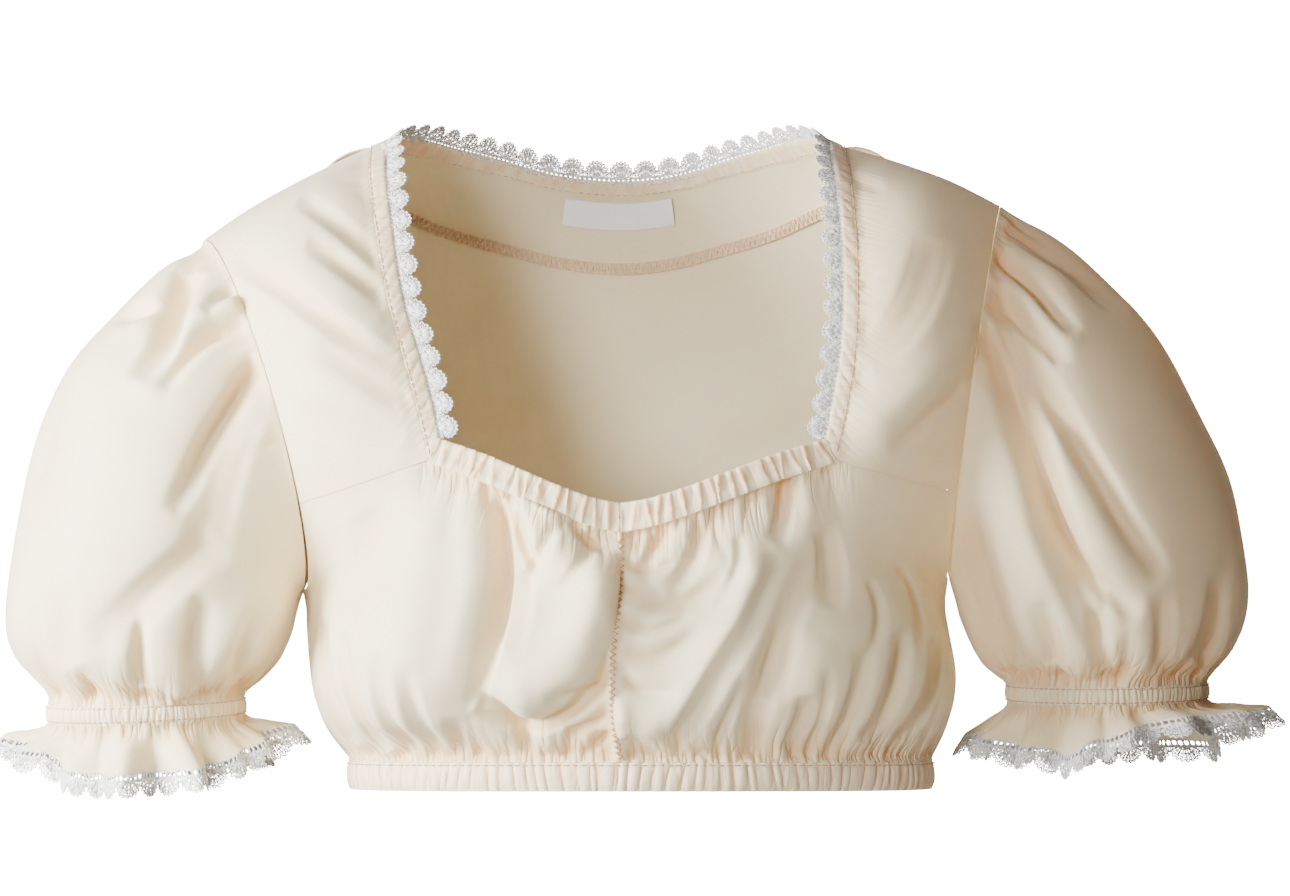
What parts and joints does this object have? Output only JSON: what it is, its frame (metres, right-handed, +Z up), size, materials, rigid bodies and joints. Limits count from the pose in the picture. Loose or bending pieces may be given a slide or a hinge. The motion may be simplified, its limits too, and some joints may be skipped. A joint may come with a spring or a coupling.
{
  "type": "cropped puff-sleeve blouse",
  "caption": "Cropped cream blouse with a sweetheart neckline, gathered elastic casings, puff sleeves with ruffled cuffs and scalloped lace edging, hollow as when worn.",
  "frame": {"origin": "Midway between the two shoulder lines where they meet the neck, level with them: where a wearer's shoulders carry the blouse.", "axes": "+Z up, the front faces -Y, +X towards the wearer's left (the right of someone who looks at the front)"},
  "size_m": [0.6136, 0.2239, 0.3213],
  "materials": {
    "cloth": "smooth cream cloth with a faint sheen",
    "casing": "the same cloth, gathered over elastic and stitched in peach thread",
    "lace": "lustrous white crochet lace",
    "label": "smooth white woven label"
  },
  "bodies": {
    "root": {"back": "cloth", "back_yoke": "cloth", "front_right": "cloth", "front_left": "cloth", "front_yoke_right": "cloth", "front_yoke_left": "cloth", "sleeve_right": "cloth", "sleeve_left": "cloth", "ruffle_right": "cloth", "ruffle_left": "cloth", "waistband": "casing", "back_neck_casing": "casing", "neck_casing_right": "casing", "neck_casing_left": "casing", "sweetheart_casing_right": "casing", "sweetheart_casing_left": "casing", "cuff_right": "casing", "cuff_left": "casing", "neck_lace": "lace", "cuff_lace_right": "lace", "cuff_lace_left": "lace", "label": "label"}
  },
  "joints": []
}
